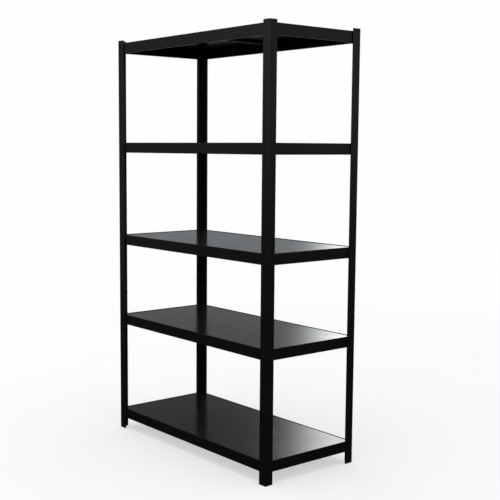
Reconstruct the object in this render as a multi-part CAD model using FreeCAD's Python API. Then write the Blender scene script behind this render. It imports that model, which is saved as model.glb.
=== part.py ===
"""Boltless steel shelving: four folded angle posts that carry five tiers of four beams and a lift-out deck.

Row frame, in millimetres: the origin is on the floor at the centre of the footprint, +X runs along the
long side, +Y towards the back and +Z up. Every tier hangs on rivets that drop into keyholes in the posts.
Bends, holes and rivets are drawn with flats, so that every face of the row is plane.
"""
import FreeCAD
import Part

import math
import os

V = FreeCAD.Vector

# Overall size
WIDTH = 1050.0              # outside face to outside face of the posts, long side
DEPTH = 488.0               # the same, short side
POST_LENGTH = 1800.0
FOOT_BASE = 4.0             # foot plate under each post
CAP_PLATE = 3.0             # cap plate over each post
CORNER_FLATS = 2            # flats round each bend

# Posts: one strip folded into an angle whose legs are flattened tubes
POST_LEG = 39.0
POST_LEG_DEPTH = 6.0        # outer wall, hollow and inner wall together
POST_SHEET = 1.0
POST_BEND = 1.0             # inside radius of the folds
POST_SEAM = 0.3             # each free edge stops this far short of the other leg
SLOT_PITCH = 25.0
SLOT_FROM_CORNER = 23.0     # keyhole centre line, from the post's outside corner
SLOT_ENTRY_R = 5.4          # wide top of the keyhole, which the rivet head passes
SLOT_WIDTH = 6.8            # narrow part, which holds the rivet shank
SLOT_BELOW_RIVET = 0.2      # play under a seated rivet
FIRST_SLOT_Z = 35.0         # centre of a rivet seated in the lowest keyhole, above the floor
LAST_SLOT_Z = 1785.0

# Tiers
TIER_TOPS = (96.0, 546.0, 921.0, 1346.0, 1796.0)
UNLOCK_TRAVEL = 9.0         # lift that frees the rivets from the keyholes

# Beams
BEAM_HEIGHT = 46.0
BEAM_SHEET = 1.0
BEAM_BEND = 0.6
BEAM_RIM = 2.6              # folded rim along the top
LEDGE_DROP = 10.0           # ledge under the rim's top, on which the deck lies
LEDGE_WIDTH = 16.0          # from the beam's outer face
LEDGE_LIP = 8.5
BOTTOM_FLANGE = 12.0
BOTTOM_LIP = 6.0
BEAM_FROM_POST_FACE = 6.3   # beam's outer face, from the post's outer face
BEAM_END_FROM_POST_FACE = 9.0
PLAIN_END = 30.0            # only the web runs on to the post

# Rivets
RIVET_R = 3.0
RIVET_HOLE_R = 3.1
RIVET_HEAD_R = 4.8
RIVET_HEAD_THICKNESS = 1.9
RIVET_HEAD_REACH = 3.7      # crown of the head, in front of the beam's outer face
RIVET_TAIL_R = 4.2
RIVET_TAIL_THICKNESS = 1.2
RIVET_CROWN_STEP = 0.8      # each head and tail is drawn as two discs, the outer one smaller by this
RIVET_FLATS = 12
RIVET_DROPS = (11.0, 36.0)  # below the tier's top
RIVET_FROM_END = SLOT_FROM_CORNER - BEAM_END_FROM_POST_FACE

# Decks
DECK_SHEET = 0.7
DECK_GAP = 0.8              # between the deck's skirt and the rim
DECK_BELOW_RIM = 2.0
DECK_EDGE = 0.6             # chamfer for the fold round the deck
DECK_FLANGE = 9.0           # turned in under the skirt, lying on the ledge
DECK_CORNER_RELIEF = 12.0

# Support bar under the middle of each deck
BAR_SHEET = 1.0
BAR_BEND = 0.8
BAR_WIDTH = 34.0
BAR_CHANNEL = 20.0
BAR_UNDER_DECK = 0.2
BAR_FLOOR_DROP = 15.0       # underside of the bar's floor, below the tier's top
TONGUE_LENGTH = 5.0
TONGUE_WIDTH = 18.0
TONGUE_CLEAR = 0.4
BAR_END_CLEAR = 0.6

# Plastic caps and feet
PLUG_LENGTH = 12.0
PLUG_CLEAR = 0.3
CAP_PLUGS = ((8.0, 16.5), (29.5, 36.0))     # stay clear of the top tier's rivet heads as they lift
FOOT_PLUGS = ((9.0, 35.0),)
MOULDED_EDGE = 0.5

CORNERS = {"front_left": (-1, -1, 0), "front_right": (1, -1, 90),
           "rear_right": (1, 1, 180), "rear_left": (-1, 1, 270)}
SIDES = {"front": (0, -1, 0), "right": (1, 0, 90), "rear": (0, 1, 180), "left": (-1, 0, 270)}


def turn_between(before, here, after):
    """Signed turn at a corner: positive to the left."""
    a, b = here - before, after - here
    return math.atan2(a.x * b.y - a.y * b.x, a.x * b.x + a.y * b.y)


def eased_outline(points, radii):
    """Closed polygon in the XY plane, each corner turned in flats that follow its radius."""
    outline = []
    count = len(points)
    for i, here in enumerate(points):
        radius = radii[i]
        if radius == 0:
            outline.append(here)
            continue
        before, after = points[i - 1], points[(i + 1) % count]
        turn = turn_between(before, here, after)
        into, out = (here - before).normalize(), (after - here).normalize()
        start = here - into * (radius * abs(math.tan(turn / 2)))
        centre = here + (out - into).normalize() * (radius / math.cos(turn / 2))
        for step in range(CORNER_FLATS + 1):
            swing = FreeCAD.Rotation(V(0, 0, 1), math.degrees(turn) * step / CORNER_FLATS)
            outline.append(centre + swing.multVec(start - centre))
    outline.append(outline[0])
    return Part.makePolygon(outline)


def folded_strip(path, thickness, bend):
    """Face of a sheet folded along an open centre line, with inside bend radius bend."""
    points = [V(x, y, 0) for x, y in path]
    half = thickness / 2
    left, right, left_r, right_r = [], [], [], []
    for i, here in enumerate(points):
        into = (here - points[i - 1]).normalize() if i else None
        out = (points[i + 1] - here).normalize() if i + 1 < len(points) else None
        if into is None or out is None:
            along = out if into is None else into
            normal = V(-along.y, along.x, 0) * half
            left.append(here + normal)
            right.append(here - normal)
            left_r.append(0.0)
            right_r.append(0.0)
            continue
        turn = turn_between(points[i - 1], here, points[i + 1])
        normal = (V(-into.y, into.x, 0) + V(-out.y, out.x, 0)).normalize()
        reach = half / math.cos(turn / 2)
        left.append(here + normal * reach)
        right.append(here - normal * reach)
        inside, outside = bend, bend + thickness
        left_r.append(inside if turn > 0 else outside)
        right_r.append(outside if turn > 0 else inside)
    return Part.Face(eased_outline(left + right[::-1], left_r + right_r[::-1]))


def placed(shape, x, y, z, degrees):
    """Copy of a shape turned about +Z and then moved."""
    copy = shape.copy()
    copy.rotate(V(0, 0, 0), V(0, 0, 1), degrees)
    copy.translate(V(x, y, z))
    return copy


def box(x0, x1, y0, y1, z0, z1):
    return Part.makeBox(x1 - x0, y1 - y0, z1 - z0, V(x0, y0, z0))


def prism(radius, flats, y0, y1):
    """Prism along Y round the Y axis; its flats lie at least radius from the axis."""
    reach = radius / math.cos(math.pi / flats)
    corners = [V(reach * math.cos(2 * math.pi * (i + 0.5) / flats), y0,
                 reach * math.sin(2 * math.pi * (i + 0.5) / flats)) for i in range(flats)]
    corners.append(corners[0])
    return Part.Face(Part.makePolygon(corners)).extrude(V(0, y1 - y0, 0))


def keyhole_cutter(rivet_z):
    """Keyhole through the inner wall of the leg that runs along +X, for a rivet seated at rivet_z."""
    half = SLOT_WIDTH / 2
    ease = half * 0.6
    bottom = rivet_z - RIVET_R - SLOT_BELOW_RIVET
    entry = rivet_z + UNLOCK_TRAVEL
    wide = SLOT_ENTRY_R
    corner = wide * math.tan(math.pi / 8)
    right = [(half - ease, bottom), (half, bottom + ease), (half, entry - wide + half - corner),
             (wide, entry - corner), (wide, entry + corner), (corner, entry + wide)]
    outline = [V(x, 0, z) for x, z in right] + [V(-x, 0, z) for x, z in right[::-1]]
    outline.append(outline[0])
    cutter = Part.Face(Part.makePolygon(outline)).extrude(V(0, POST_LEG_DEPTH, 0))
    cutter.translate(V(SLOT_FROM_CORNER, POST_LEG_DEPTH / 2, 0))
    return cutter


def make_post():
    """Post with its outside corner at the origin and its legs along +X and +Y."""
    centre = POST_SHEET / 2
    inner = POST_LEG_DEPTH - centre
    tip = POST_LEG - centre
    seam = POST_LEG_DEPTH + POST_SEAM
    path = [(seam, inner), (tip, inner), (tip, centre), (centre, centre),
            (centre, tip), (inner, tip), (inner, seam)]
    post = folded_strip(path, POST_SHEET, POST_BEND).extrude(V(0, 0, POST_LENGTH))
    post.translate(V(0, 0, FOOT_BASE))
    count = int(round((LAST_SLOT_Z - FIRST_SLOT_Z) / SLOT_PITCH)) + 1
    cutters = []
    for i in range(count):
        along_x = keyhole_cutter(FIRST_SLOT_Z + i * SLOT_PITCH)
        cutters.append(along_x)
        cutters.append(along_x.mirror(V(0, 0, 0), V(1, -1, 0)))
    return post.cut(Part.makeCompound(cutters))


def angle_plate(thickness):
    """Flat L the size of the post's section, with rounded outside corners."""
    leg, depth, edge = POST_LEG, POST_LEG_DEPTH, POST_BEND + POST_SHEET
    points = [V(0, 0, 0), V(leg, 0, 0), V(leg, depth, 0), V(depth, depth, 0), V(depth, leg, 0), V(0, leg, 0)]
    radii = [edge, edge, edge, 0, edge, edge]
    return Part.Face(eased_outline(points, radii)).extrude(V(0, 0, thickness))


def make_end_fitting(plate, plugs):
    """Plastic end fitting: a plate under z = 0 and plugs that stand up into the post's hollow legs."""
    body = angle_plate(plate)
    body.translate(V(0, 0, -plate))
    rim = [e for e in body.Edges if abs(e.BoundBox.ZMax + plate) < 1e-6]
    body = body.makeChamfer(MOULDED_EDGE, rim)
    near = POST_SHEET + PLUG_CLEAR
    far = POST_LEG_DEPTH - POST_SHEET - PLUG_CLEAR
    pieces = []
    for start, end in plugs:
        pieces.append(box(start, end, near, far, -MOULDED_EDGE, PLUG_LENGTH))
        pieces.append(box(near, far, start, end, -MOULDED_EDGE, PLUG_LENGTH))
    return body.fuse(pieces).removeSplitter()


def make_foot():
    foot = make_end_fitting(FOOT_BASE, FOOT_PLUGS)
    foot.translate(V(0, 0, FOOT_BASE))
    return foot


def make_cap():
    cap = make_end_fitting(CAP_PLATE, CAP_PLUGS).mirror(V(0, 0, 0), V(0, 0, 1))
    cap.translate(V(0, 0, FOOT_BASE + POST_LENGTH))
    return cap


def make_beam(length, has_bar_slot):
    """Beam along X, centred, with its outer face on y = 0 facing -Y and its top on z = 0."""
    centre = BEAM_SHEET / 2
    floor = -BEAM_HEIGHT + centre
    ledge = -LEDGE_DROP - centre
    lip = LEDGE_WIDTH - centre
    flange = BOTTOM_FLANGE - centre
    fold = BEAM_RIM - centre
    path = [(flange, floor + BOTTOM_LIP), (flange, floor), (centre, floor), (centre, -centre),
            (fold, -centre), (fold, ledge), (lip, ledge), (lip, -LEDGE_DROP - LEDGE_LIP)]
    section = folded_strip(path, BEAM_SHEET, BEAM_BEND / 2)
    # The section is drawn as (y, z) in the XY plane: stand it up in the YZ plane.
    section.rotate(V(0, 0, 0), V(1, 1, 1), 120)
    beam = section.extrude(V(length, 0, 0))
    beam.translate(V(-length / 2, 0, 0))
    cutters = []
    end = length / 2
    for side in (-1, 1):
        x0, x1 = sorted((side * (end + 1), side * (end - PLAIN_END)))
        cutters.append(box(x0, x1, BEAM_SHEET, LEDGE_WIDTH + 1, -BEAM_HEIGHT - 1, 1))
        for drop in RIVET_DROPS:
            hole = prism(RIVET_HOLE_R, RIVET_FLATS, -BEAM_SHEET, 2 * BEAM_SHEET)
            hole.translate(V(side * (end - RIVET_FROM_END), 0, -drop))
            cutters.append(hole)
    if has_bar_slot:
        half = TONGUE_WIDTH / 2 + 1.5
        low = -BAR_FLOOR_DROP - TONGUE_CLEAR
        high = -BAR_FLOOR_DROP + BAR_SHEET + TONGUE_CLEAR
        cutters.append(box(-half, half, lip - BEAM_SHEET, LEDGE_WIDTH + 1, low, high))
    return beam.cut(cutters)


def make_rivet():
    """Rivet on the Y axis: the head stands out to -Y of the beam's outer face at y = 0."""
    crown = -RIVET_HEAD_REACH
    head = crown + RIVET_HEAD_THICKNESS
    tail = BEAM_SHEET + RIVET_TAIL_THICKNESS
    discs = [(RIVET_R, crown, tail),
             (RIVET_HEAD_R - RIVET_CROWN_STEP, crown, head),
             (RIVET_HEAD_R, crown + RIVET_HEAD_THICKNESS / 3, head),
             (RIVET_TAIL_R, BEAM_SHEET, tail - RIVET_TAIL_THICKNESS / 2),
             (RIVET_TAIL_R - RIVET_CROWN_STEP, BEAM_SHEET, tail)]
    solids = [prism(radius, RIVET_FLATS, y0, y1) for radius, y0, y1 in discs]
    return solids[0].fuse(solids[1:]).removeSplitter()


def rivet_places(length):
    """Rivet positions on a beam of this length, in the beam's own frame."""
    x = length / 2 - RIVET_FROM_END
    return [(side * x, -drop) for side in (-1, 1) for drop in RIVET_DROPS]


def make_deck():
    """Steel deck with its top on z = 0: a folded skirt and a flange turned in under it."""
    inset = BEAM_FROM_POST_FACE + BEAM_RIM + DECK_GAP
    half_x, half_y = WIDTH / 2 - inset, DEPTH / 2 - inset
    height = LEDGE_DROP - DECK_BELOW_RIM
    outer = box(-half_x, half_x, -half_y, half_y, -height, 0)
    edges = [e for e in outer.Edges if e.BoundBox.ZMax > -height + 1e-6]
    outer = outer.makeChamfer(DECK_EDGE, edges)
    t, f = DECK_SHEET, DECK_FLANGE
    hollow = box(-half_x + t, half_x - t, -half_y + t, half_y - t, -height + t, -t)
    mouth = box(-half_x + f, half_x - f, -half_y + f, half_y - f, -height - 1, -height + 2 * t)
    cutters = [hollow, mouth]
    for side_x in (-1, 1):
        for side_y in (-1, 1):
            x0, x1 = sorted((side_x * (half_x - t), side_x * (half_x - DECK_CORNER_RELIEF)))
            y0, y1 = sorted((side_y * (half_y - t), side_y * (half_y - DECK_CORNER_RELIEF)))
            cutters.append(box(x0, x1, y0, y1, -height - 1, -height + 2 * t))
    return outer.cut(cutters)


def make_support_bar():
    """Hat-section bar along Y under the deck, with tongues through the long beams' ledge lips."""
    centre = BAR_SHEET / 2
    top = -DECK_BELOW_RIM - DECK_SHEET - BAR_UNDER_DECK - centre
    floor = -BAR_FLOOR_DROP + centre
    wall = BAR_CHANNEL / 2 - centre
    edge = BAR_WIDTH / 2
    path = [(-edge, top), (-wall, top), (-wall, floor), (wall, floor), (wall, top), (edge, top)]
    section = folded_strip(path, BAR_SHEET, BAR_BEND)
    section.rotate(V(0, 0, 0), V(1, 0, 0), 90)
    reach = DEPTH / 2 - BEAM_FROM_POST_FACE - LEDGE_WIDTH - BAR_END_CLEAR
    bar = section.extrude(V(0, 2 * reach, 0))
    bar.translate(V(0, -reach, 0))
    half = (BAR_CHANNEL - 2 * (BAR_SHEET + BAR_BEND)) / 2
    low = -BAR_FLOOR_DROP
    tongues = []
    for end in (-reach, reach):
        tongues.append(box(-half, half, end - TONGUE_LENGTH, end + TONGUE_LENGTH, low, low + BAR_SHEET))
    return bar.fuse(tongues).removeSplitter()


def export(shape, node):
    """Writes one node's STEP file, as separate solids."""
    solids = shape.Solids
    if not solids or not all(s.isValid() for s in solids):
        raise RuntimeError("bad solid in " + node)
    whole = solids[0] if len(solids) == 1 else Part.makeCompound(solids)
    whole.exportStep(os.path.join("parts", node + ".step"))


def export_corner_parts():
    """Posts, caps and feet at the four corners."""
    for part_name, shape in (("post", make_post()), ("post_cap", make_cap()), ("foot", make_foot())):
        for corner, (side_x, side_y, degrees) in CORNERS.items():
            x, y = side_x * WIDTH / 2, side_y * DEPTH / 2
            export(placed(shape, x, y, 0, degrees), part_name + "_" + corner)


def export_tiers():
    """Beams, rivets, support bar and deck of every tier."""
    long_length = WIDTH - 2 * BEAM_END_FROM_POST_FACE
    short_length = DEPTH - 2 * BEAM_END_FROM_POST_FACE
    long_beam = make_beam(long_length, True)
    short_beam = make_beam(short_length, False)
    rivet, bar, deck = make_rivet(), make_support_bar(), make_deck()
    face_x, face_y = WIDTH / 2 - BEAM_FROM_POST_FACE, DEPTH / 2 - BEAM_FROM_POST_FACE
    for number, top in enumerate(TIER_TOPS, 1):
        tier = "tier%d_" % number
        rivets = []
        for side, (side_x, side_y, degrees) in SIDES.items():
            is_long = side_y != 0
            beam = long_beam if is_long else short_beam
            x, y = side_x * face_x, side_y * face_y
            export(placed(beam, x, y, top, degrees), tier + "beam_" + side)
            for along, drop in rivet_places(long_length if is_long else short_length):
                moved = rivet.copy()
                moved.translate(V(along, 0, drop))
                rivets.append(placed(moved, x, y, top, degrees))
        export(Part.makeCompound(rivets), tier + "rivets")
        export(placed(bar, 0, 0, top, 0), tier + "support_bar")
        export(placed(deck, 0, 0, top - DECK_BELOW_RIM, 0), tier + "deck")


os.makedirs("parts", exist_ok=True)
export_corner_parts()
export_tiers()
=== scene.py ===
"""Looks of the boltless steel shelving: black powder coat, smooth rivets, studio floor, light and camera.

Lengths are in metres in the row frame: +X along the long side, +Y to the back, +Z up, floor at z = 0.
"""

import math

import bpy
from mathutils import Matrix, Vector


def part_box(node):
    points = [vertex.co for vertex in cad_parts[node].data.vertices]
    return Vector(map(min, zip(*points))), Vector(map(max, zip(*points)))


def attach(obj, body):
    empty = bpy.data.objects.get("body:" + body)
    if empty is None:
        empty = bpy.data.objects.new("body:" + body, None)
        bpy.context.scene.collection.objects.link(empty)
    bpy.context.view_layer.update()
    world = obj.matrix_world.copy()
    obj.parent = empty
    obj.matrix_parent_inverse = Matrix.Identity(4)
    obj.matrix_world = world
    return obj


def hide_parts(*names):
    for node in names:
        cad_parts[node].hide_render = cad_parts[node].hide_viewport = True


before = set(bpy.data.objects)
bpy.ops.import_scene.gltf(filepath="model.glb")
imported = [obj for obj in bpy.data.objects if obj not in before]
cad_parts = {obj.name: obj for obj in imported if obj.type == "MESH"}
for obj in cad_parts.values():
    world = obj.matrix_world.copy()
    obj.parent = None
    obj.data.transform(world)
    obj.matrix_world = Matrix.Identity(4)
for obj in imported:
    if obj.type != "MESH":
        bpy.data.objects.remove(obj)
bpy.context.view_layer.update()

TIERS = (1, 2, 3, 4, 5)
MM = 0.001
WHITE = (1.0, 1.0, 1.0)

# Camera
CAMERA_PLACE = Vector((3.2916, -2.6646, 1.3283))
CAMERA_YAW = math.radians(51.053)
CAMERA_PITCH = math.radians(6.437)
CAMERA_ROLL = math.radians(0.33)
CAMERA_LENS_MM = 69.5
CAMERA_SENSOR_MM = 36.0
CAMERA_SHIFT = (0.04, 0.012)
CAMERA_SEES_TO = 200.0

# Rivets, as the model has them
RIVET_SIDES = 28
HEAD_R = 4.8 * MM
HEAD_THICKNESS = 1.9 * MM
SHANK_R = 3.0 * MM
TAIL_R = 4.2 * MM
TAIL_THICKNESS = 1.2 * MM
HEAD_REACH = 3.7 * MM
BEAM_SHEET = 1.0 * MM
RIVET_DROPS = (11.0 * MM, 36.0 * MM)
RIVET_FROM_BEAM_END = 14.0 * MM
DOME_SHARE = 0.75           # of the head's thickness that is domed
TAIL_DOME_SHARE = 0.8
HEAD_RIM_ROUND = 0.10 * MM
NECK_FILLET = 0.15 * MM
CROWN_R = 0.01 * MM         # flat left in the middle of a crown, so that no point repeats

# Softened edges on the sheet metal and the mouldings
SHARP_ANGLE = math.radians(50)
EDGE_ROUND = {"post": 0.30 * MM, "tier": 0.25 * MM, "foot": 0.35 * MM}
EDGE_SEGMENTS = 2
WELD_DISTANCE = 0.005 * MM
FLAT_FACE_WEIGHT = 80

# Colours of the surfaces
POST_BLACK = (0.0040, 0.0040, 0.0043)
BEAM_BLACK = (0.0038, 0.0038, 0.0041)
DECK_BLACK = (0.0036, 0.0036, 0.0040)
BAR_BLACK = (0.0068, 0.0068, 0.0072)
PLASTIC_BLACK = (0.0060, 0.0060, 0.0063)
DUST = (0.22, 0.21, 0.195)
# edge colour of the powder coat: partly real wear, partly a painted edge highlight
WORN_COAT_AND_PAINTED_GLINT = (0.085, 0.085, 0.088)
# edge colour of the plastic: partly real wear, partly a painted edge highlight
WORN_PLASTIC_AND_PAINTED_GLINT = (0.06, 0.06, 0.06)
BLACK_OXIDE = (0.012, 0.012, 0.013)
THIN_OXIDE = (0.034, 0.033, 0.032)
BARE_STEEL = (0.30, 0.29, 0.28)
SURFACE_IOR = 1.5

# Floor
FLOOR_RINGS = (1.2, 2.5, 5.0, 10.0, 30.0)
FLOOR_SPOKES = 96
FLOOR_FADE = (1.2, 5.0)     # distance over which the floor goes over into the backdrop
FLOOR_GLOW = 0.55           # share of backdrop in it near the shelving, which thins the shadow
FLOOR_TONES = ((0.80, 0.80, 0.80), (0.84, 0.84, 0.84))
MIRRORED_NEAR_FLOOR = (0.015, 0.015, 0.015)
MIRRORED_FAR_FLOOR = (0.22, 0.22, 0.22)
MIRRORED_FLOOR_FADE = (1.5, 5.0)

# Surroundings: the backdrop is for the camera, the fill for matt surfaces and the rest for glossy ones
BACKDROP = (0.99, 0.992, 0.995)
FILL_TINT = (0.98, 0.99, 1.0)
FILL = 0.86
FRONT_LEVEL = 0.02          # in front of the shelving, level with the horizon
FRONT_ABOVE = 0.20          # and above it
REAR_ABOVE = 0.40           # above the horizon behind the shelving
REAR_HIGH = 0.10            # and higher up there
REAR_TINT = (0.94, 0.99, 1.03)
WINDOW = 0.75               # window that only the back views reflect
WALL_LOW = 1.8              # foot of the bright wall behind the shelving
WALL_HIGH = 3.78            # and the wall higher up
WALL_LEAN = 0.08            # how much its sides slant as they rise

SOFTBOXES = {
    "overhead_softbox": {
        "place": (0.3, -0.4, 4.2), "target": (0.0, 0.0, 0.4), "size": (3.6, 3.0), "watts": 80.0,
    },
    "left_softbox": {
        "place": (-4.2, 0.6, 2.8), "target": (0.0, 0.0, 0.9), "size": (1.6, 2.2), "watts": 20.0,
    },
}


class Graph:
    """Adds shader nodes to one node tree and wires numbers, colours or other nodes' outputs into them."""

    def __init__(self, tree):
        self.tree = tree
        tree.nodes.clear()

    def add(self, kind, inputs=None, **settings):
        made = self.tree.nodes.new(kind)
        for name, value in settings.items():
            setattr(made, name, value)
        for name, value in (inputs or {}).items():
            self.wire(made.inputs[name], value)
        return made

    def wire(self, socket, value):
        if isinstance(value, bpy.types.NodeSocket):
            self.tree.links.new(value, socket)
        elif isinstance(value, tuple) and len(value) == 3 and socket.type == "RGBA":
            socket.default_value = (*value, 1.0)
        else:
            socket.default_value = value

    def math(self, operation, a, b=0.0, clamp=False):
        made = self.add("ShaderNodeMath", {0: a, 1: b}, operation=operation, use_clamp=clamp)
        return made.outputs[0]

    def product(self, first, *others):
        for other in others:
            first = self.math("MULTIPLY", first, other)
        return first

    def total(self, first, *others):
        for other in others:
            first = self.math("ADD", first, other)
        return first

    def noise(self, place, scale, detail=2.0, rough=0.5, distortion=0.0):
        made = self.add("ShaderNodeTexNoise", {"Vector": place, "Scale": scale, "Detail": detail,
                                               "Roughness": rough, "Distortion": distortion})
        return made.outputs["Fac"]

    def stretch(self, value, low, high, to_low=0.0, to_high=1.0, smooth=False):
        """Takes low to to_low and high to to_high, and stops there."""
        made = self.add("ShaderNodeMapRange", {"Value": value, "From Min": low, "From Max": high,
                                               "To Min": to_low, "To Max": to_high}, clamp=True)
        if smooth:
            made.interpolation_type = "SMOOTHSTEP"
        return made.outputs["Result"]

    def fade(self, value, low, high):
        """Soft step from 0 at low to 1 at high, which may be the smaller of the two."""
        return self.stretch(value, low, high, smooth=True)

    def mix(self, share, a, b):
        made = self.add("ShaderNodeMix", data_type="RGBA")
        colours = [s for s in made.inputs if s.type == "RGBA"]
        self.wire(made.inputs[0], share)
        self.wire(colours[0], a)
        self.wire(colours[1], b)
        return [s for s in made.outputs if s.type == "RGBA"][0]

    def scaled(self, place, factors):
        made = self.add("ShaderNodeMapping", {"Vector": place, "Scale": factors})
        return made.outputs["Vector"]

    def bump(self, height, strength, distance, under=None):
        """Normal of a bumpy skin over the surface, or over the normal under it."""
        inputs = {"Height": height, "Strength": strength, "Distance": distance}
        if under is not None:
            inputs["Normal"] = under
        return self.add("ShaderNodeBump", inputs).outputs["Normal"]

    def surface(self, colour, rough, normal, metallic=0.0):
        """Ends a material in one solid surface."""
        made = self.add("ShaderNodeBsdfPrincipled", {"Base Color": colour, "Roughness": rough,
                                                     "Metallic": metallic, "IOR": SURFACE_IOR,
                                                     "Normal": normal})
        self.add("ShaderNodeOutputMaterial", {"Surface": made.outputs["BSDF"]})


def new_material(name):
    made = bpy.data.materials.new(name)
    made.use_nodes = True
    g = Graph(made.node_tree)
    place = g.add("ShaderNodeTexCoord").outputs["Object"]
    return made, g, place


def shaded(colour, factor):
    return tuple(channel * factor for channel in colour)


def edge_mask(g, radius, place, patch_scale):
    """1 along sharp edges, broken up by noise, 0 elsewhere."""
    rounded = g.add("ShaderNodeBevel", {"Radius": radius}, samples=6).outputs["Normal"]
    normal = g.add("ShaderNodeNewGeometry").outputs["Normal"]
    agree = g.add("ShaderNodeVectorMath", {0: rounded, 1: normal}, operation="DOT_PRODUCT")
    sharp = g.stretch(agree.outputs["Value"], 0.995, 0.80)
    patches = g.stretch(g.noise(place, patch_scale, 4.0, 0.65), 0.42, 0.66)
    return g.product(sharp, patches)


def facing_up(g):
    """1 on faces that face straight up, 0 on the others."""
    normal = g.add("ShaderNodeNewGeometry").outputs["Normal"]
    up = g.add("ShaderNodeSeparateXYZ", {"Vector": normal}).outputs["Z"]
    return g.stretch(up, 0.90, 0.99)


def powder_coat(name, shade, roughness, peel=1.0, wear_and_glint=0.4, dust=0.01, rolled=0.0):
    """Black powder coat.

    It has a cloudy film, fine speckle, orange peel, hand marks, edges lightened by wear and by painted
    highlights, and a trace of dust. With rolled above 0, the sheet under it waves by about that much.
    """
    material, g, place = new_material(name)
    cloud = g.noise(place, 2.3, 3.0, 0.55, 0.4)
    speckle = g.noise(place, 2400.0, 1.0)
    marks = g.noise(g.scaled(place, (1.0, 1.0, 0.7)), 8.5, 6.0, 0.62, 1.6)
    smears = g.noise(g.scaled(place, (6.0, 60.0, 14.0)), 1.0, 4.0, 0.6, 0.3)
    worn = edge_mask(g, 0.9 * MM, place, 55.0)

    film = g.mix(cloud, shaded(shade, 0.80), shaded(shade, 1.25))
    grains = g.product(g.stretch(speckle, 0.56, 0.72), 0.35)
    film = g.mix(grains, film, shaded(shade, 2.2))
    powder = g.product(facing_up(g), g.stretch(g.noise(place, 17.0, 7.0, 0.7), 0.35, 0.75))
    film = g.mix(g.product(powder, dust), film, DUST)
    # lighter edges: partly worn coat, partly painted edge highlights
    film = g.mix(g.product(worn, wear_and_glint), film, WORN_COAT_AND_PAINTED_GLINT)

    rough = g.total(g.product(marks, 0.12), roughness - 0.09, g.product(smears, 0.06))
    rough = g.total(rough, g.product(powder, dust * 0.8))
    rough = g.math("SUBTRACT", rough, g.product(worn, 0.08), clamp=True)

    skin = g.total(g.noise(place, 430.0, 2.0, 0.5), g.product(speckle, 0.25))
    normal = g.bump(skin, 0.20 * peel, 0.25 * MM)
    if rolled > 0:
        sheet = g.noise(g.scaled(place, (1.0, 2.2, 1.0)), 1.7, 1.0)
        normal = g.bump(sheet, 1.0, rolled, under=normal)
    g.surface(film, rough, normal)
    return material


def moulded_plastic(name, shade):
    """Black polyethylene with a spark-eroded grain, flow clouds and edges rubbed a little shiny, their
    lighter colour partly real wear and partly a painted highlight.
    """
    material, g, place = new_material(name)
    grain = g.noise(place, 1500.0, 3.0, 0.7)
    flow = g.noise(g.scaled(place, (1.0, 1.0, 3.0)), 24.0, 4.0, 0.6, 2.0)
    worn = edge_mask(g, 0.7 * MM, place, 90.0)
    colour = g.mix(flow, shaded(shade, 0.75), shaded(shade, 1.35))
    # lighter rubbed edges: partly wear, partly painted edge highlights
    colour = g.mix(g.product(worn, 0.5), colour, WORN_PLASTIC_AND_PAINTED_GLINT)
    rough = g.total(g.product(grain, 0.20), 0.46)
    rough = g.math("SUBTRACT", rough, g.product(worn, 0.18))
    g.surface(colour, rough, g.bump(grain, 0.45, 0.12 * MM))
    return material


def rivet_steel(name):
    """Black-oxide steel, rubbed to bare metal on the crowns."""
    material, g, place = new_material(name)
    blotch = g.noise(place, 260.0, 5.0, 0.65, 0.8)
    scuffs = g.noise(g.scaled(place, (300.0, 300.0, 2200.0)), 1.0, 3.0, 0.6)
    worn = edge_mask(g, 0.8 * MM, place, 400.0)
    bare = g.product(worn, g.stretch(blotch, 0.40, 0.62))
    colour = g.mix(blotch, BLACK_OXIDE, THIN_OXIDE)
    colour = g.mix(bare, colour, BARE_STEEL)
    rough = g.stretch(scuffs, 0.3, 0.7, 0.32, 0.50)
    g.surface(colour, rough, g.bump(scuffs, 0.3, 0.05 * MM), metallic=g.product(bare, 0.9))
    return material


def soften(piece, width):
    """Rounds the sharp edges of a folded-sheet or moulded piece and shades its flats flat."""
    mesh = piece.data
    if "custom_normal" in mesh.attributes:
        mesh.attributes.remove(mesh.attributes["custom_normal"])
    for face in mesh.polygons:
        face.use_smooth = True
    weld = piece.modifiers.new("joined corners", "WELD")
    weld.merge_threshold = WELD_DISTANCE
    rounding = piece.modifiers.new("rounded edges", "BEVEL")
    rounding.width = width
    rounding.segments = EDGE_SEGMENTS
    rounding.limit_method = "ANGLE"
    rounding.angle_limit = SHARP_ANGLE
    rounding.use_clamp_overlap = True
    shading = piece.modifiers.new("flat faces", "WEIGHTED_NORMAL")
    shading.weight = FLAT_FACE_WEIGHT


def paint(piece, material):
    piece.data.materials.clear()
    piece.data.materials.append(material)
    for face in piece.data.polygons:
        face.material_index = 0


def rivet_profile():
    """(radius, distance behind the beam's outer face) from the crown of the head to the end of the tail."""
    crown = -HEAD_REACH
    head = crown + HEAD_THICKNESS
    tail = BEAM_SHEET + TAIL_THICKNESS
    profile = []
    for step in range(7):
        a = math.radians(15 * step)
        profile.append((HEAD_R * math.sin(a), crown + DOME_SHARE * HEAD_THICKNESS * (1 - math.cos(a))))
    profile += [(HEAD_R, head - HEAD_RIM_ROUND), (HEAD_R - HEAD_RIM_ROUND, head)]
    profile += [(SHANK_R + NECK_FILLET, head), (SHANK_R, head + NECK_FILLET)]
    profile += [(SHANK_R, BEAM_SHEET), (TAIL_R, BEAM_SHEET)]
    for step in range(5, -1, -1):
        a = math.radians(18 * step)
        profile.append((TAIL_R * math.sin(a), tail - TAIL_DOME_SHARE * TAIL_THICKNESS * (1 - math.cos(a))))
    return profile


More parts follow.
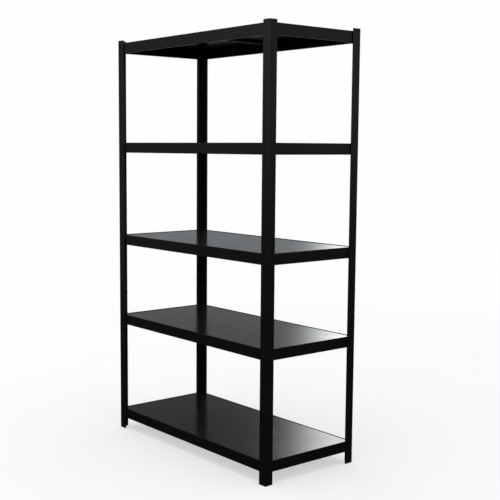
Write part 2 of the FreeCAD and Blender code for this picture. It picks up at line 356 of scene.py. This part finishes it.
def add_rivet(points, faces, place, outward):
    """Adds one turned rivet whose head points outward from the beam face at place."""
    side = Vector((-outward.y, outward.x, 0))
    up = Vector((0, 0, 1))
    profile = rivet_profile()
    first = len(points)
    for radius, behind in profile:
        reach = max(radius, CROWN_R)
        for i in range(RIVET_SIDES):
            a = 2 * math.pi * i / RIVET_SIDES
            spoke = side * (reach * math.cos(a)) + up * (reach * math.sin(a))
            points.append(place - outward * behind + spoke)
    for ring in range(len(profile) - 1):
        low, high = first + ring * RIVET_SIDES, first + (ring + 1) * RIVET_SIDES
        for i in range(RIVET_SIDES):
            j = (i + 1) % RIVET_SIDES
            faces.append((low + i, low + j, high + j, high + i))
    last = first + (len(profile) - 1) * RIVET_SIDES
    faces.append(tuple(first + i for i in reversed(range(RIVET_SIDES))))
    faces.append(tuple(last + i for i in range(RIVET_SIDES)))


def add_beam_rivets(points, faces, beam, outward):
    """Adds the four rivets of one beam, whose outer face looks outward."""
    low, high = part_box(beam)
    along = 1 if outward.x else 0
    across = 1 - along
    for end in (low[along] + RIVET_FROM_BEAM_END, high[along] - RIVET_FROM_BEAM_END):
        for drop in RIVET_DROPS:
            place = Vector((low.x, low.y, high.z - drop))
            place[along] = end
            place[across] = high[across] if outward[across] > 0 else low[across]
            add_rivet(points, faces, place, outward)


def make_rivets(tier, material):
    """The sixteen rivets of one tier as turned pieces, in place of the flat-sided ones."""
    outwards = {"front": Vector((0, -1, 0)), "rear": Vector((0, 1, 0)),
                "left": Vector((-1, 0, 0)), "right": Vector((1, 0, 0))}
    points, faces = [], []
    for side, outward in outwards.items():
        add_beam_rivets(points, faces, "tier%d_beam_%s" % (tier, side), outward)
    name = "tier%d_turned_rivets" % tier
    mesh = bpy.data.meshes.new(name)
    mesh.from_pydata(points, [], faces)
    mesh.update()
    for face in mesh.polygons:
        face.use_smooth = len(face.vertices) == 4
    mesh.set_sharp_from_angle(angle=SHARP_ANGLE)
    mesh.materials.append(material)
    piece = bpy.data.objects.new(name, mesh)
    bpy.context.scene.collection.objects.link(piece)
    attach(piece, "tier%d_frame" % tier)
    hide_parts("tier%d_rivets" % tier)


def finish_pieces():
    """Materials and softened edges for every piece of the shelving."""
    post_coat = powder_coat("post_powder_coat", POST_BLACK, 0.29)
    beam_coat = powder_coat("beam_powder_coat", BEAM_BLACK, 0.29)
    deck_coat = powder_coat("deck_powder_coat", DECK_BLACK, 0.17, peel=0.30, dust=0.012, rolled=0.3 * MM)
    bar_coat = powder_coat("bar_powder_coat", BAR_BLACK, 0.40, wear_and_glint=0.3)
    plastic = moulded_plastic("black_moulding", PLASTIC_BLACK)
    steel = rivet_steel("rivet_steel")
    looks = (("post_cap_", plastic, "foot"), ("foot_", plastic, "foot"), ("post_", post_coat, "post"),
             ("_beam_", beam_coat, "tier"), ("_deck", deck_coat, "tier"), ("_support_bar", bar_coat, "tier"))
    for name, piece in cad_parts.items():
        if name.endswith("_rivets"):
            continue
        material, edge = next((material, edge) for part, material, edge in looks if part in name)
        paint(piece, material)
        soften(piece, EDGE_ROUND[edge])
    for tier in TIERS:
        make_rivets(tier, steel)


def floor_mesh():
    """Round floor, finer in the middle."""
    points = [(0.0, 0.0, 0.0)]
    for radius in FLOOR_RINGS:
        for i in range(FLOOR_SPOKES):
            a = 2 * math.pi * i / FLOOR_SPOKES
            points.append((radius * math.cos(a), radius * math.sin(a), 0.0))
    faces = [(0, 1 + i, 1 + (i + 1) % FLOOR_SPOKES) for i in range(FLOOR_SPOKES)]
    for ring in range(len(FLOOR_RINGS) - 1):
        inner, outer = 1 + ring * FLOOR_SPOKES, 1 + (ring + 1) * FLOOR_SPOKES
        for i in range(FLOOR_SPOKES):
            j = (i + 1) % FLOOR_SPOKES
            faces.append((inner + i, outer + i, outer + j, inner + j))
    mesh = bpy.data.meshes.new("floor")
    mesh.from_pydata(points, [], faces)
    return mesh


def make_floor():
    """Pale floor that fades into the backdrop, and looks dark in reflections in front of the shelving."""
    mesh = floor_mesh()
    floor = bpy.data.objects.new("floor", mesh)
    bpy.context.scene.collection.objects.link(floor)

    material, g, place = new_material("pale_floor")
    away = g.add("ShaderNodeVectorMath", {0: place}, operation="LENGTH").outputs["Value"]
    glow = g.stretch(away, *FLOOR_FADE, FLOOR_GLOW, 1.0, smooth=True)
    lit = g.add("ShaderNodeBsdfDiffuse", {"Color": g.mix(g.noise(place, 1.3, 3.0), *FLOOR_TONES)})
    distant = g.add("ShaderNodeEmission", {"Color": BACKDROP, "Strength": 1.0})
    pale = g.add("ShaderNodeMixShader", {0: glow, 1: lit.outputs[0], 2: distant.outputs[0]})
    across = g.add("ShaderNodeSeparateXYZ", {"Vector": place}).outputs
    behind = g.fade(g.math("SUBTRACT", across["Y"], across["X"]), *MIRRORED_FLOOR_FADE)
    dim = g.mix(behind, MIRRORED_NEAR_FLOOR, MIRRORED_FAR_FLOOR)
    dark = g.add("ShaderNodeBsdfDiffuse", {"Color": dim})
    seen = g.add("ShaderNodeLightPath").outputs["Is Camera Ray"]
    either = g.add("ShaderNodeMixShader", {0: seen, 1: dark.outputs[0], 2: pale.outputs[0]})
    g.add("ShaderNodeOutputMaterial", {"Surface": either.outputs[0]})
    mesh.materials.append(material)


def reflected_room(g):
    """Colour and strength of what glossy surfaces see: a dim room with one bright wall behind the shelving.

    backwards and sideways are the shares of a level direction that point along +Y and +X, and up is the
    sine of its height over the horizon.
    """
    direction = g.add("ShaderNodeTexCoord").outputs["Generated"]
    parts = g.add("ShaderNodeSeparateXYZ", {"Vector": direction}).outputs
    up = parts["Z"]
    level = g.math("SQRT", g.math("SUBTRACT", 1.0, g.product(up, up)))
    backwards = g.math("DIVIDE", parts["Y"], level)
    sideways = g.math("DIVIDE", parts["X"], level)
    behind = g.fade(backwards, -0.2, 0.5)

    front = g.product(g.stretch(up, -0.02, 0.13, FRONT_LEVEL, FRONT_ABOVE),
                      g.stretch(sideways, -0.86, -0.70, 0.7, 3.2, smooth=True),
                      g.stretch(up, 0.12, 0.28, 1.0, 0.5),
                      g.math("SUBTRACT", 1.0, behind))
    rear = g.product(g.stretch(up, 0.08, 0.26, REAR_ABOVE, REAR_HIGH), g.stretch(up, -0.06, 0.08), behind)
    window = g.product(g.fade(g.math("SUBTRACT", sideways, backwards), 0.95, 1.30),
                       g.fade(up, 0.0, 0.10), WINDOW)

    slanted = g.total(backwards, g.product(up, WALL_LEAN))
    wall = g.product(g.fade(slanted, 0.694, 0.740), g.fade(slanted, 0.790, 0.750),
                     g.fade(sideways, 0.50, 0.15),
                     g.fade(up, -0.03, 0.035), g.fade(up, 0.75, 0.40))
    bright = g.product(wall, g.stretch(up, 0.07, 0.20, WALL_LOW, WALL_HIGH))

    tint = g.mix(wall, g.mix(behind, WHITE, REAR_TINT), WHITE)
    return tint, g.total(front, rear, window, bright)


def make_world():
    """Backdrop for the camera, an even fill for matt surfaces and the reflected room for glossy ones."""
    world = bpy.data.worlds.new("studio")
    bpy.context.scene.world = world
    world.use_nodes = True
    g = Graph(world.node_tree)
    tint, strength = reflected_room(g)
    room = g.add("ShaderNodeBackground", {"Color": tint, "Strength": strength}).outputs[0]
    fill = g.add("ShaderNodeBackground", {"Color": FILL_TINT, "Strength": FILL}).outputs[0]
    backdrop = g.add("ShaderNodeBackground", {"Color": BACKDROP, "Strength": 1.0}).outputs[0]
    path = g.add("ShaderNodeLightPath").outputs
    indirect = g.add("ShaderNodeMixShader", {0: path["Is Glossy Ray"], 1: fill, 2: room}).outputs[0]
    shown = g.add("ShaderNodeMixShader", {0: path["Is Camera Ray"], 1: indirect, 2: backdrop}).outputs[0]
    g.add("ShaderNodeOutputWorld", {"Surface": shown})


def make_lights():
    """One softbox overhead and a weaker one on the left."""
    for name, box in SOFTBOXES.items():
        data = bpy.data.lights.new(name, "AREA")
        data.shape = "RECTANGLE"
        data.size, data.size_y = box["size"]
        data.energy = box["watts"]
        light = bpy.data.objects.new(name, data)
        light.location = box["place"]
        light.rotation_mode = "QUATERNION"
        light.rotation_quaternion = (Vector(box["target"]) - Vector(box["place"])).to_track_quat("-Z", "Y")
        bpy.context.scene.collection.objects.link(light)


def make_camera():
    """Camera at the photograph's viewing angle."""
    forward = Vector((-math.sin(CAMERA_YAW) * math.cos(CAMERA_PITCH),
                      math.cos(CAMERA_YAW) * math.cos(CAMERA_PITCH),
                      -math.sin(CAMERA_PITCH)))
    level = Vector((math.cos(CAMERA_YAW), math.sin(CAMERA_YAW), 0))
    upright = level.cross(forward)
    right = level * math.cos(CAMERA_ROLL) + upright * math.sin(CAMERA_ROLL)
    up = upright * math.cos(CAMERA_ROLL) - level * math.sin(CAMERA_ROLL)
    data = bpy.data.cameras.new("camera")
    data.sensor_width = CAMERA_SENSOR_MM
    data.lens = CAMERA_LENS_MM
    data.shift_x, data.shift_y = CAMERA_SHIFT
    data.clip_end = CAMERA_SEES_TO
    camera = bpy.data.objects.new("camera", data)
    turn = Matrix((right, up, -forward)).transposed()
    camera.matrix_world = Matrix.Translation(CAMERA_PLACE) @ turn.to_4x4()
    bpy.context.scene.collection.objects.link(camera)
    bpy.context.scene.camera = camera


finish_pieces()
make_floor()
make_world()
make_lights()
make_camera()
bpy.context.scene.view_settings.view_transform = "Standard"
